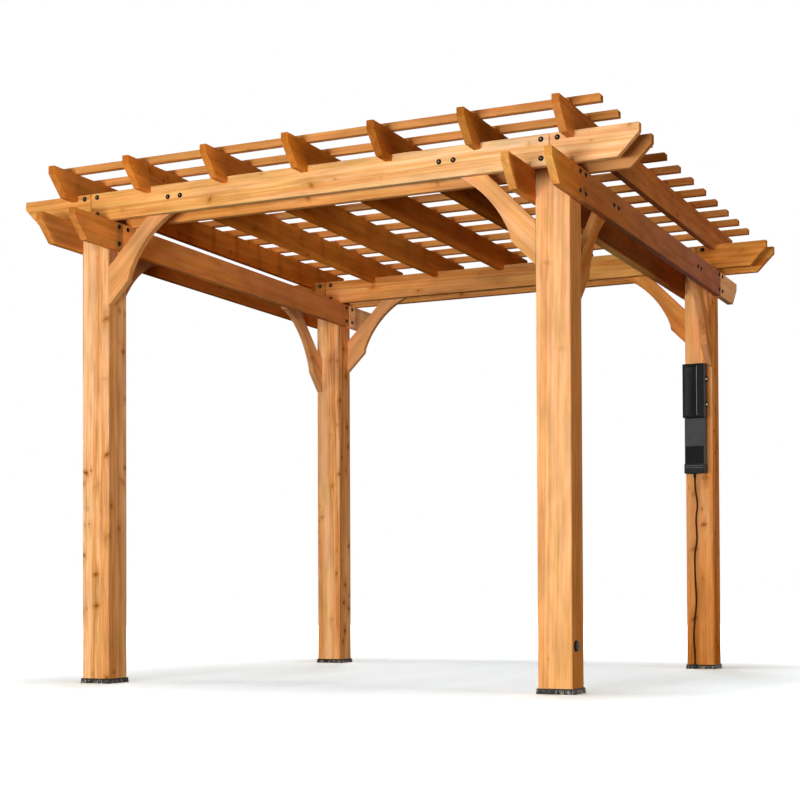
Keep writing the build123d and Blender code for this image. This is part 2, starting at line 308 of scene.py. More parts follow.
STAIN_AND_SHADE = {
    # The first two colours are painted shade, not stain: the dark one on the posts under the headers,
    # the amber one, with some of the board's own tone, on the inner header tail.
    "painted_shade": "#5A2C0E",
    "amber": "#C4803F",
    "light": "#FFD6A8",
    "pale": "#FABF82",
    "warm": "#E79C58",
    "late": "#BA6C33",
    "line": "#B4662B",
    "smudge": "#CE8540",
    "halo": "#B36E2D",
    "knot": "#84491A",
    "end": "#C98445",
    "end line": "#B06C33",
}
STAIN_RAMP = ((0.12, "light"), (0.40, "pale"), (0.62, "warm"), (0.95, "late"))
ROSY = (1.0, 0.965, 1.03, 1.0)
GOLDEN = (1.0, 1.01, 0.93, 1.0)
MIDDLE_DEPTH = 0.485  # the depth of a board without figure
PATTERN_WEIGHTS = (0.45, 0.70, 0.28)  # what bands, streaks and fibres add to the depth
FIBRE_RELIEF, KNOT_RELIEF = 0.6, -0.8  # their heights, where late wood stands 1 proud
# Smooth ramps: from which value of a pattern to which, and what they give at each.
BULGE_STEP = (0.4, 3.6, 1.0, 0.0)  # how far a ring bends, by knot radii from the branch
BAND_STEP = (0.38, 0.62, -0.825, -0.605)  # the step in depth from slow growth to fast
TINT_STEP = (0.36, 0.64, 0.0, 1.0)  # from rosy to golden
CLOUD_STEP = (0.34, 0.70, 1.09, 0.86)  # how bright a patch is that soaked up less stain or more
LINE_STEP = (0.35, 0.7, 0.05)  # how clearly a year's line shows, up to LINE_CLEAR
LINE_CLEAR = 0.20
END_STEP = (0.55, 0.95, 0.0, 0.55)  # how much of the end's stain, from a long face to a sawn end
ROUGH_STEP = (0.25, 0.75, 0.52, 0.68)  # how rough the wood is along a fibre
# Each layer round a knot: from and to how many knot radii it fades, its strength and its stain.
KNOT_SMUDGE = (0.6, 4.0, 0.55, "smudge")
KNOT_HALO = (0.9, 2.8, 0.65, "halo")
KNOT_CORE = (0.5, 1.2, 0.9, "knot")
print("stains", len(STAIN_AND_SHADE))


# %% Grain space and noise in it
def grain_space(tree, turn, pith, lane=None):
    """Object coordinates turned so that Z runs along the grain, measured from the pith.

    A lane, for boards side by side in one piece, is the axis across them, their pitch and a shift.
    """
    place = add(tree, "ShaderNodeTexCoord").outputs["Object"]
    if lane:
        axis, pitch, shift = lane
        board = (along_axis(tree, axis), 1 / pitch, shift)
        board = add(tree, "ShaderNodeMath", board, operation="MULTIPLY_ADD")
        board = add(tree, "ShaderNodeMath", (board,), operation="FLOOR")
        dice = add(tree, "ShaderNodeTexWhiteNoise", (board,), noise_dimensions="1D")
        spread = (dice.outputs["Color"], (LANE_SPREAD,) * 3, place)
        place = add(tree, "ShaderNodeVectorMath", spread, operation="MULTIPLY_ADD")
    return add(tree, "ShaderNodeMapping", (place, pith, turn), vector_type="TEXTURE")


def stretched_noise(tree, place, size_mm, detail):
    """Noise whose blots have the given size along each axis of the space."""
    scale = tuple(1 / (size * MM) for size in size_mm)
    place = add(tree, "ShaderNodeVectorMath", (place, scale), operation="MULTIPLY")
    return add(tree, "ShaderNodeTexNoise", (place, 1.0, detail, NOISE_ROUGHNESS))


print("grain space ready")


# %% Knots
def knots(tree, place, figure):
    """Distance from the nearest branch and along-grain distance, both in knot radii, and the radius.

    The stronger the figure, the more of the cells really hold a branch.
    """
    share = KNOT_SHARE * figure
    cell = tuple(size * MM for size in KNOT_CELL_MM)
    shrink = tuple(1 / size for size in cell)
    scaled = add(tree, "ShaderNodeVectorMath", (place, shrink), operation="MULTIPLY")
    branch = add(tree, "ShaderNodeTexVoronoi", {"Vector": scaled, "Scale": 1.0}).outputs
    offset = add(tree, "ShaderNodeVectorMath", (scaled, branch["Position"]), operation="SUBTRACT")
    real = add(tree, "ShaderNodeVectorMath", (offset, cell), operation="MULTIPLY")
    crumple = stretched_noise(tree, place, CRUMPLE_MM, 2.0).outputs["Color"]
    crumple = add(tree, "ShaderNodeVectorMath", (crumple, (0.5,) * 3), operation="SUBTRACT")
    dented = (crumple, CRUMPLE_REACH, real)
    dented = add(tree, "ShaderNodeVectorMath", dented, operation="MULTIPLY_ADD")

    axis = add(tree, "ShaderNodeVectorMath", (branch["Color"], (0.5,) * 3), operation="SUBTRACT")
    axis = add(tree, "ShaderNodeVectorMath", (axis,), operation="NORMALIZE")
    along = add(tree, "ShaderNodeVectorMath", (dented, axis), operation="DOT_PRODUCT")
    shorter = add(tree, "ShaderNodeMath", (along, KNOT_STRETCH - 1), operation="MULTIPLY")
    rod = add(tree, "ShaderNodeVectorMath", (axis, shorter), operation="SCALE")
    oval = add(tree, "ShaderNodeVectorMath", (dented, rod), operation="ADD")
    distance = add(tree, "ShaderNodeVectorMath", (oval,), operation="LENGTH")

    dice = add(tree, "ShaderNodeSeparateColor", (branch["Color"],))
    size = add(tree, "ShaderNodeMapRange", (dice, 1 - share, 1.0), **EASED)
    present = add(tree, "ShaderNodeMath", (dice, 1 - share), operation="GREATER_THAN")
    small, large = (radius * MM for radius in KNOT_MM)
    radius = add(tree, "ShaderNodeMath", (size, large - small, small), operation="MULTIPLY_ADD")
    radius = (present, radius, NO_KNOT_MM * MM)
    radius = add(tree, "ShaderNodeMath", radius, operation="MULTIPLY_ADD")
    flow = add(tree, "ShaderNodeVectorMath", (dented, FLOW_STRETCH), operation="MULTIPLY")
    flow = add(tree, "ShaderNodeVectorMath", (flow,), operation="LENGTH")
    near = add(tree, "ShaderNodeMath", (distance, radius), operation="DIVIDE")
    flow = add(tree, "ShaderNodeMath", (flow, radius), operation="DIVIDE")
    return near, flow, radius


print("knots ready")


# %% Growth rings
def growth_rings(tree, place, flow, radius):
    """How dark each year's late wood is, and the slow change from band to band of years."""
    waver = stretched_noise(tree, place, WAVER_SIZE_MM, 2.0).outputs["Color"]
    wavy = (waver, (WAVER_MM * MM * 2,) * 3, place)
    wavy = add(tree, "ShaderNodeVectorMath", wavy, operation="MULTIPLY_ADD")
    x, y, z = add(tree, "ShaderNodeSeparateXYZ", (wavy,)).outputs
    across = add(tree, "ShaderNodeCombineXYZ", (x, y))
    ring = add(tree, "ShaderNodeVectorMath", (across,), operation="LENGTH")
    ring = add(tree, "ShaderNodeMath", (z, TAPER, ring), operation="MULTIPLY_ADD")
    bulge = add(tree, "ShaderNodeMapRange", (flow, *BULGE_STEP), **EASED)
    bulge = add(tree, "ShaderNodeMath", (bulge, radius), operation="MULTIPLY")
    ring = add(tree, "ShaderNodeMath", (ring, bulge), operation="ADD")
    turns = add(tree, "ShaderNodeMath", (ring, RING_MM * MM), operation="DIVIDE")
    share = add(tree, "ShaderNodeMath", (turns,), operation="FRACT")
    rise = add(tree, "ShaderNodeMapRange", (share, *SUMMER), **EASED)
    fall = add(tree, "ShaderNodeMapRange", (share, SUMMER[1], 1.0, 1.0, 0.0), **EASED)
    late = add(tree, "ShaderNodeMath", (rise, fall), operation="MULTIPLY")
    years = add(tree, "ShaderNodeMath", (turns, BAND_RINGS), operation="DIVIDE")
    bands = add(tree, "ShaderNodeTexNoise", (years, *BAND_NOISE), noise_dimensions="1D")
    return late, bands


print("rings ready")

# %% [markdown]
# ### A tone that drifts along a board
# No long board is one colour: its tone changes from one end to the other. On the rafters and the
# right beam the drift is painted shade and painted light. A Color Ramp over the board's length holds
# that change as a few stops, and multiplying by it leaves the grain alone. A ramp may hold colours
# above 1, which brighten.


# %% Ramps and drift
def set_stops(ramp, interpolation, stops):
    """Gives a Color Ramp node its stops: a position and a colour each, in rising order."""
    ramp.color_ramp.interpolation = interpolation
    elements = ramp.color_ramp.elements
    elements.remove(elements[1])
    elements[0].position, elements[0].color = stops[0]
    for position, colour in stops[1:]:
        elements.new(position).color = colour


def drifting_tone(tree, axis, low, high, stops):
    """The tone at each share of a board's length, as a colour to multiply by."""
    share = add(tree, "ShaderNodeMapRange", (along_axis(tree, axis), low, high))
    ramp = add(tree, "ShaderNodeValToRGB", (share,))
    set_stops(ramp, "EASE", [(position, (*tone, 1.0)) for position, tone in stops])
    return ramp


print("drift ready")


# %% How deep the stain went, and its colour there
def soaked_colour(tree, bands, streak, fibre, tint, figure):
    """The stain's colour, paler or darker with the wood's own patterns, in rosy and golden stripes."""
    depth = add(tree, "ShaderNodeMapRange", (bands, *BAND_STEP), **EASED)
    for pattern, weight in zip((bands, streak, fibre), PATTERN_WEIGHTS):
        depth = add(tree, "ShaderNodeMath", (pattern, weight, depth), operation="MULTIPLY_ADD")
    depth = add(tree, "ShaderNodeMath", (depth, figure, MIDDLE_DEPTH), operation="MULTIPLY_ADD")
    colour = add(tree, "ShaderNodeValToRGB", (depth,))
    set_stops(colour, "B_SPLINE", [(position, linear(STAIN_AND_SHADE[stain])) for position, stain in STAIN_RAMP])
    tint = add(tree, "ShaderNodeMapRange", (tint, *TINT_STEP), **EASED)
    stripe = add(tree, "ShaderNodeMix", (tint, ROSY, GOLDEN), **COLOURS)
    return add(tree, "ShaderNodeMix", (1.0, colour, stripe), **MULTIPLIED)


print("soaking ready")


# %% Lines, knots and ends over it
def lines_and_knots(tree, colour, late, bands, near, flow, figure):
    """Draws each year's fine line and the layers round each knot, and gives back the core's too."""
    line = add(tree, "ShaderNodeMapRange", (bands, *LINE_STEP, LINE_CLEAR * figure), **EASED)
    line = add(tree, "ShaderNodeMath", (late, line), operation="MULTIPLY")
    colour = add(tree, "ShaderNodeMix", (line, colour, linear(STAIN_AND_SHADE["line"])), **COLOURS)
    for distance, layer in ((flow, KNOT_SMUDGE), (near, KNOT_HALO), (near, KNOT_CORE)):
        inner, outer, strength, stain = layer
        fade = (distance, inner, outer, strength * figure, 0.0)
        core = add(tree, "ShaderNodeMapRange", fade, **EASED)
        colour = add(tree, "ShaderNodeMix", (core, colour, linear(STAIN_AND_SHADE[stain])), **COLOURS)
    return colour, core


def sawn_ends(tree, colour, turn, late):
    """Draws the sawn ends, which drink more stain than the long faces and show the rings clearly."""
    facing = add(tree, "ShaderNodeNewGeometry").outputs["True Normal"]
    grain = tuple(Euler(turn).to_matrix() @ Vector((0, 0, 1)))
    ends = add(tree, "ShaderNodeVectorMath", (facing, grain), operation="DOT_PRODUCT")
    ends = add(tree, "ShaderNodeMath", (ends,), operation="ABSOLUTE")
    ends = add(tree, "ShaderNodeMapRange", (ends, *END_STEP), **EASED)
    thirsty = (late, linear(STAIN_AND_SHADE["end"]), linear(STAIN_AND_SHADE["end line"]))
    thirsty = add(tree, "ShaderNodeMix", thirsty, **COLOURS)
    return add(tree, "ShaderNodeMix", (ends, colour, thirsty), **COLOURS)


print("lines, knots and ends ready")


# %% The whole recipe
def stained_softwood(name, turn, pith, lane, tone, soak, figure, painted_shade=None, drift=None):
    """Planed fir with an amber penetrating stain, its grain along the turned Z axis.

    Figure is how strongly rings, streaks and knots stand out: 1 in a lively board, 0 in a plain one.
    The painted shade between boards, if given: its axis, its range, how much and which colour.
    Drift is how the tone changes along the board, painted shade and light on some boards: the axis,
    its two ends, and a tone at each share.
    """
    material = bpy.data.materials.new(name)
    tree = empty_tree(material)
    place = grain_space(tree, turn, pith, lane)
    near, flow, radius = knots(tree, place, figure)
    late, bands = growth_rings(tree, place, flow, radius)
    fibre = stretched_noise(tree, place, FIBRE_MM, 3.0)
    streak = stretched_noise(tree, place, STREAK_MM, 3.0)
    tint = stretched_noise(tree, place, TINT_MM, 1.0)
    cloud = stretched_noise(tree, place, CLOUD_MM, 3.0)

    colour = soaked_colour(tree, bands, streak, fibre, tint, figure)
    colour, core = lines_and_knots(tree, colour, late, bands, near, flow, figure)
    colour = sawn_ends(tree, colour, turn, late)

    # The board's own depth and tone, its drift, with painted shade and light on some boards, and the
    # painted shade between boards.
    colour = add(tree, "ShaderNodeGamma", (colour, soak))
    factors = [add(tree, "ShaderNodeMapRange", (cloud, *CLOUD_STEP), **EASED)]
    factors.append((*tone, 1.0))
    if drift:
        factors.append(drifting_tone(tree, *drift))
    for factor in factors:
        colour = add(tree, "ShaderNodeMix", (1.0, colour, factor), **MULTIPLIED)
    # Painted shade between boards: its colour covers the wood over the given range.
    if painted_shade:
        axis, start, end, amount, stain = painted_shade
        unshaded = (along_axis(tree, axis), start, end, 1.0, 1.0 - amount)
        unshaded = add(tree, "ShaderNodeMapRange", unshaded, **EASED)
        colour = add(tree, "ShaderNodeMix", (unshaded, linear(STAIN_AND_SHADE[stain]), colour), **COLOURS)

    # Late wood stands a little proud, fibres are fine grooves and a knot sinks.
    relief = add(tree, "ShaderNodeMath", (fibre, FIBRE_RELIEF, late), operation="MULTIPLY_ADD")
    relief = add(tree, "ShaderNodeMath", (core, KNOT_RELIEF, relief), operation="MULTIPLY_ADD")
    bump = {"Height": relief, "Strength": 0.35, "Distance": 0.4 * MM}
    surface = {
        "Base Color": colour,
        "Roughness": add(tree, "ShaderNodeMapRange", (fibre, *ROUGH_STEP), **EASED),
        "Specular IOR Level": 0.0,
        "Normal": add(tree, "ShaderNodeBump", bump),
    }
    shader = add(tree, "ShaderNodeBsdfPrincipled", surface)
    add(tree, "ShaderNodeOutputMaterial", (shader,))
    return material


print("recipe ready")

# %% [markdown]
# ### Which way the grain runs, and how many boards a piece holds
# Wood is sawn along its grain, so posts carry it upright, rafters and beams along Y, headers and
# purlins along X, and braces at 45 degrees. Some pieces are two tails or six purlins side by side.
# Cutting their space into lanes gives each of these boards its own place in the tree.

# %% Which way the grain runs in each node
QUARTER = math.pi / 2
EIGHTH = math.pi / 4
ALONG_X = (0.0, QUARTER, 0.0)
ALONG_Y = (-QUARTER, 0.0, 0.0)
ALONG_Z = (0.0, 0.0, 0.0)
PURLINS = 6  # in each of the two groups
RAFTERS = 7


def grain_turn(name):
    """The turn from upright grain to the grain of the named piece."""
    right = -1 if "_right_" in name else 1
    back = -1 if name.startswith("back_") else 1
    if name.endswith("_post"):
        return ALONG_Z
    if name.endswith("header_brace"):
        return (0.0, right * EIGHTH, 0.0)
    if name.endswith("beam_brace"):
        return (-back * EIGHTH, 0.0, 0.0)
    if "beam" in name or name.startswith("rafter"):
        return ALONG_Y
    return ALONG_X


def board_lane(name, low, high):
    """Where one node holds several boards side by side: the axis across them, and their spacing."""
    if name.endswith("_tails"):
        axis = 1 if "header" in name else 0
        pitch = (high[axis] - low[axis]) / 2
        return axis, pitch, -low[axis] / pitch
    if name.endswith("_purlins"):
        thickness = high.z - low.z
        pitch = (high.y - low.y - thickness) / (PURLINS - 1)
        return 1, pitch, -(low.y - (pitch - thickness) / 2) / pitch
    return None


print("a brace turns by", round(math.degrees(EIGHTH)), "degrees")

# %% [markdown]
# ### The shade of each board
# Boards from different trees take the same stain differently, and part of the difference here is
# painted shade and light. One table gives each kind of board its shade and figure, and a second one
# the drift along the boards where it shows most.

# %% How deep the stain went, with painted shade
# For each kind of board: how much red, green and blue it throws back, the power that deepens its
# colour, and the strength of its figure. This is partly each board's own stain and partly painted
# shade and light: roof timbers are plainer than the posts, and darker and deeper as painted shade
# under the roof, and some beams and tails are bluer or brighter against the warm side light. The
# first name that fits counts.
STAIN_AND_SHADE_DEPTHS = (
    ("left_beam_brace", (0.80, 0.81, 0.90), 1.04, 0.5),
    ("back_right_beam_brace", (0.95, 0.92, 1.0), 1.10, 0.5),
    ("front_right_beam_brace", (0.73, 0.77, 0.82), 1.30, 0.5),
    ("back_right_header_brace", (0.96, 0.91, 0.69), 1.20, 0.5),
    ("front_left_header_brace", (0.84, 0.82, 0.80), 1.02, 0.35),
    ("brace", (0.93, 0.97, 1.03), 1.02, 0.35),
    ("back_header_right_tails", (1.04, 0.99, 0.62), 1.20, 0.6),
    ("back_header", (0.77, 0.77, 0.64), 1.20, 0.6),
    ("front_header_left_tails", (0.86, 0.81, 0.54), 1.0, 0.6),
    ("header_right_tails", (1.06, 1.07, 1.10), 0.86, 0.55),
    ("header_inner", (0.93, 0.94, 0.82), 1.06, 0.55),
    ("header", (0.95, 1.0, 0.92), 1.0, 0.6),
    ("right_beam_front_tails", (0.94, 0.92, 0.59), 1.25, 0.25),
    ("right_beam_back_tails", (1.30, 1.60, 2.60), 0.9, 0.25),
    ("right_beam_inner", (1.02, 1.23, 1.40), 1.25, 0.25),
    ("right_beam", (0.68, 0.71, 1.40), 1.25, 0.25),
    ("left_beam_back_tails", (1.30, 1.60, 2.20), 1.0, 0.3),
    ("left_beam_inner", (0.97, 0.93, 0.91), 1.30, 0.25),
    ("left_beam_outer", (0.77, 0.53, 0.27), 1.30, 0.3),
    ("left_beam", (0.85, 0.85, 0.66), 1.30, 0.3),
    ("rafter_4 rafter_5", (0.70, 0.63, 0.35), 1.40, 0.3),
    ("rafter_7", (0.66, 0.70, 1.07), 1.40, 0.3),
    ("rafter", (0.88, 0.81, 0.51), 1.40, 0.3),
    ("back_purlins", (0.76, 0.70, 0.55), 1.20, 0.35),
    ("purlins", (0.82, 0.82, 0.74), 1.20, 0.35),
    ("back_right_post", (1.02, 1.0, 1.0), 1.20, 0.8),
    ("back_left_post", (1.08, 1.06, 1.10), 0.98, 1.0),
    ("front_right_post", (0.98, 1.0, 1.02), 1.0, 0.5),
    ("post", (0.98, 1.0, 1.02), 1.0, 1.0),
)


def stain_and_shade_depth(name):
    """Brightness, colour power and figure of the named piece."""
    for parts, *values in STAIN_AND_SHADE_DEPTHS:
        if any(part in name for part in parts.split()):
            return values
    raise LookupError(name)


# A board's tone drifts along its length. Each stop is a share of the board, from its low end to its
# high end, and a tone. On the rafters the drift is painted shade just behind the front header and
# painted light past it; on the right beam's inner board and front tails it is painted light towards
# the front and painted shade towards the back.
# The rafters: painted shade just behind the front header, then painted light.
RAFTER_PAINTED_SHADE_AND_LIGHT = (
    (0.13, (1.0, 1.0, 1.0)),
    (0.20, (0.78, 0.66, 0.45)),
    (0.36, (0.86, 0.74, 0.50)),
    (0.52, (1.25, 1.26, 1.05)),
    (0.68, (1.20, 1.28, 1.05)),
    (0.85, (0.95, 0.92, 0.75)),
)
TONE_AND_SHADE_DRIFTS = {
    "front_header_outer_board": (
        (0.0, (0.94, 0.88, 0.67)),
        (0.5, (0.95, 0.96, 0.98)),
        (1.0, (1.03, 1.20, 1.55)),
    ),
    "front_left_post": ((0.0, (0.87, 0.92, 0.93)), (0.5, (0.94, 1.0, 1.12))),
    "front_right_post": ((0.0, (0.92, 0.89, 0.76)), (0.4, (0.97, 0.99, 1.04))),
    "back_left_post": ((0.3, (0.95, 0.97, 0.92)), (0.7, (0.86, 0.86, 0.82))),
    "back_right_post": (
        (0.0, (0.84, 0.70, 0.42)),
        (0.15, (0.96, 0.85, 0.60)),
        (0.35, (1.03, 1.0, 1.03)),
        (0.8, (1.04, 1.14, 1.16)),
    ),
    "front_header_inner_board": (
        (0.30, (0.98, 0.87, 0.67)),
        (0.47, (1.10, 1.09, 1.02)),
        (0.66, (1.10, 1.13, 1.18)),
        (0.82, (0.86, 0.86, 1.0)),
    ),
    "back_header_inner_board": (
        (0.2, (1.05, 1.04, 1.10)),
        (0.5, (0.78, 0.78, 0.84)),
        (0.9, (1.04, 1.14, 1.10)),
    ),
    "left_beam_inner_board": ((0.1, (1.40, 1.42, 1.22)), (0.6, (0.84, 0.87, 0.98))),
    "right_beam_outer_board": ((0.0, (1.02, 0.97, 0.60)), (1.0, (1.0, 1.04, 1.40))),
    # Painted light at the tails' front ends, painted shade towards the post.
    "right_beam_front_tails": (
        (0.0, (1.15, 1.42, 2.0)),
        (0.3, (1.0, 1.0, 1.10)),
        (1.0, (0.84, 0.78, 0.92)),
    ),
    # Painted light along the front half, painted shade towards the back end.
    "right_beam_inner_board": (
        (0.3, (1.10, 1.0, 0.90)),
        (0.45, (1.42, 1.45, 1.30)),
        (0.6, (1.20, 1.15, 0.90)),
        (0.8, (0.74, 0.52, 0.38)),
        (1.0, (0.46, 0.33, 0.20)),
    ),
    "rafter_1": ((0.05, (0.88, 0.92, 0.95)), *RAFTER_PAINTED_SHADE_AND_LIGHT[1:]),
    "rafter_2": RAFTER_PAINTED_SHADE_AND_LIGHT,
    "rafter_3": RAFTER_PAINTED_SHADE_AND_LIGHT,
    "rafter_4": ((0.13, (1.22, 1.35, 1.30)), (0.24, (0.74, 0.60, 0.40)), (0.55, (1.15, 1.04, 1.0))),
    "rafter_5": ((0.04, (0.85, 0.82, 0.85)), (0.13, (1.15, 1.25, 1.15)), (0.24, (0.55, 0.50, 0.40))),
    "rafter_6": ((0.13, (0.76, 0.93, 1.05)), (0.24, (0.80, 0.90, 1.0))),
    "rafter_7": (
        (0.0, (1.18, 1.14, 0.66)),
        (0.10, (0.80, 0.74, 0.52)),
        (0.25, (0.64, 0.64, 0.60)),
        (0.42, (1.15, 1.12, 0.95)),
        (0.90, (1.12, 1.16, 1.28)),
    ),
}
print("shades", len(STAIN_AND_SHADE_DEPTHS), "and drifts", len(TONE_AND_SHADE_DRIFTS))

# %% A stained board for every timber
chance = random.Random(41)
TONE_SPREAD = 0.04
PITH_AWAY = (0.07, 0.16)  # metres from the middle of a board to the middle of its tree
PAINTED_SHADE_RISE = 30 * MM  # above the beam's bottom edge
beam_low, beam_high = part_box("right_beam_outer_board")
right_post_low, right_post_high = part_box("front_right_post")
# Painted shade on each post under the headers, between the beam tails, from a little above the beam's
# bottom edge upwards.
POST_PAINTED_SHADE = (2, beam_low.z + PAINTED_SHADE_RISE, beam_high.z, 1.0, "painted_shade")
# Painted shade, with some of the board's own tone, on the inner header tail behind the outer one.
TAIL_PAINTED_SHADE = (1, right_post_low.y, right_post_high.y, 0.80, "amber")
for name, node in sorted(nodes.items()):
    if not node.data.materials[0].name.endswith("_timber"):
        continue
    low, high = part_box(name)
    away = Vector([chance.uniform(-1, 1) for _ in range(3)]).normalized()
    pith = (low + high) / 2 + away * chance.uniform(*PITH_AWAY)
    tone, soak, figure = stain_and_shade_depth(name)
    brighter = 1 + chance.uniform(-TONE_SPREAD, TONE_SPREAD)
    tone = [channel * brighter for channel in tone]
    painted_shade = POST_PAINTED_SHADE if name.endswith("_post") else None
    painted_shade = TAIL_PAINTED_SHADE if name == "front_header_right_tails" else painted_shade
    longest = max(range(3), key=lambda axis: high[axis] - low[axis])
    stops = TONE_AND_SHADE_DRIFTS.get(name)
    drift = (longest, low[longest], high[longest], stops) if stops else None
    lane = board_lane(name, low, high)
    growth = (grain_turn(name), tuple(pith), lane, tone, soak, figure, painted_shade, drift)
    node.data.materials[0] = stained_softwood(f"stained fir {name}", *growth)
print("timbers stained")

# %% [markdown]
# ## Bolts and screws
# Every board is bolted through its post, and every brace through its board, so the same round black
# head shows again and again. One Geometry Nodes tree builds that head by pushing a disc up in steps,
# puts a copy on each point of a list and turns it to face the way the point says. Screws are the
# same tree with smaller sizes. Realized and baked, the copies are one plain mesh.


# %% Metal finishes
PATCH_MM = (45.0, 45.0, 45.0)  # rubbing comes in patches of this size
PATCH_STEP = (0.30, 0.55)
RUBBED_STEP = (0.47, 0.62)
WEAR_FADE_MM = 5.0  # below the top of the wear, where it fades out
POLISH = 0.75  # how rough a rubbed place still is, as a share
SPECKLE_MM = (1.6, 1.6, 1.6)
DULL_COAT = {"metallic": 0.0, "roughness": 0.5}  # the coat hides the steel and shines like paint


def coated_metal(name, colour, scuff, streak_mm, worn, metallic, roughness, gloss=0.12, top_mm=None):
    """Coated or plated steel: its colour, and rubbed streaks of another one, up to a height if given."""
    material = bpy.data.materials.new(name)
    tree = empty_tree(material)
    place = add(tree, "ShaderNodeTexCoord").outputs["Object"]
    streaks = stretched_noise(tree, place, streak_mm, 3.0)
    patches = stretched_noise(tree, place, PATCH_MM, 2.0)
    shares = [add(tree, "ShaderNodeMapRange", (patches, *PATCH_STEP), **EASED), worn]
    if top_mm:
        reach = (along_axis(tree, 2), (top_mm - WEAR_FADE_MM) * MM, top_mm * MM, 1.0, 0.0)
        shares.append(add(tree, "ShaderNodeMapRange", reach, **EASED))
    rubbed = add(tree, "ShaderNodeMapRange", (streaks, *RUBBED_STEP), **EASED)
    for share in shares:
        rubbed = add(tree, "ShaderNodeMath", (rubbed, share), operation="MULTIPLY")
    speckle = stretched_noise(tree, place, SPECKLE_MM, 2.0)
    bump = {"Height": speckle, "Strength": 0.25, "Distance": 0.2 * MM}
    polish = (rubbed, 0.0, 1.0, roughness, roughness * POLISH)
    surface = {
        "Base Color": add(tree, "ShaderNodeMix", (rubbed, linear(colour), linear(scuff)), **COLOURS),
        "Metallic": metallic,
        "Roughness": add(tree, "ShaderNodeMapRange", polish, **EASED),
        "Specular IOR Level": gloss,
        "Normal": add(tree, "ShaderNodeBump", bump),
    }
    shader = add(tree, "ShaderNodeBsdfPrincipled", surface)
    add(tree, "ShaderNodeOutputMaterial", (shader,))
    return material


# Black epoxy coat over steel: nearly black and rather dull, with a trace of wear on the dome.
BOLT_BLACK = coated_metal("black epoxy coated steel", "#120C08", "#2A211B", (4.0,) * 3, 0.5, **DULL_COAT)
# The small gold-brown point in the socket of each head is a painted highlight.
SOCKET_HIGHLIGHT_GOLD = coated_metal("gold-brown painted highlight", "#B98A58", "#D8B080", (2.0,) * 3, 0.5, **DULL_COAT)
# Bronze-coated deck screws: darker than the wood, a little metallic.
SCREW_BRONZE = coated_metal("bronze coated steel", "#5A4632", "#8A7250", (3.0,) * 3, 0.5, 0.6, 0.42)
print("metals ready")


# %% The tree that makes round heads
def tree_with_inputs(name, sizes, materials):
    """An empty Geometry Nodes tree with inputs for the geometry, the sizes and the materials."""
    tree = bpy.data.node_groups.new(name, "GeometryNodeTree")
    face = tree.interface
    face.new_socket("Geometry", in_out="INPUT", socket_type="NodeSocketGeometry")
    for label, value in sizes.items():
        kind = "NodeSocketInt" if isinstance(value, int) else "NodeSocketFloat"
        face.new_socket(label, in_out="INPUT", socket_type=kind).default_value = value
    for label in materials:
        face.new_socket(label, in_out="INPUT", socket_type="NodeSocketMaterial")
    face.new_socket("Geometry", in_out="OUTPUT", socket_type="NodeSocketGeometry")
    return tree, add(tree, "NodeGroupInput").outputs


def finish_tree(tree, geometry, coats):
    """Ends a tree in real geometry, then lays on each coat: a material and the part that gets it."""
    real = add(tree, "GeometryNodeRealizeInstances", {"Geometry": geometry})
    for material, part in coats:
        coat = {"Geometry": real, "Material": material, "Selection": part}
        real = add(tree, "GeometryNodeSetMaterial", coat)
    add(tree, "NodeGroupOutput", {"Geometry": real})


# The sizes of a bolt head in mm: the washer, the head on it, and the socket in the head.
BOLT_HEAD_MM = {
    "Washer radius": 11.5,
    "Washer thickness": 1.8,
    "Head radius": 8.5,
    "Head height": 4.2,
    "Socket radius": 3.6,
    "Socket depth": 2.6,
}
UPRIGHT, DOMED = 0.55, 0.45  # shares of the head's height
SHOULDER = 0.72  # the flat top in head radii


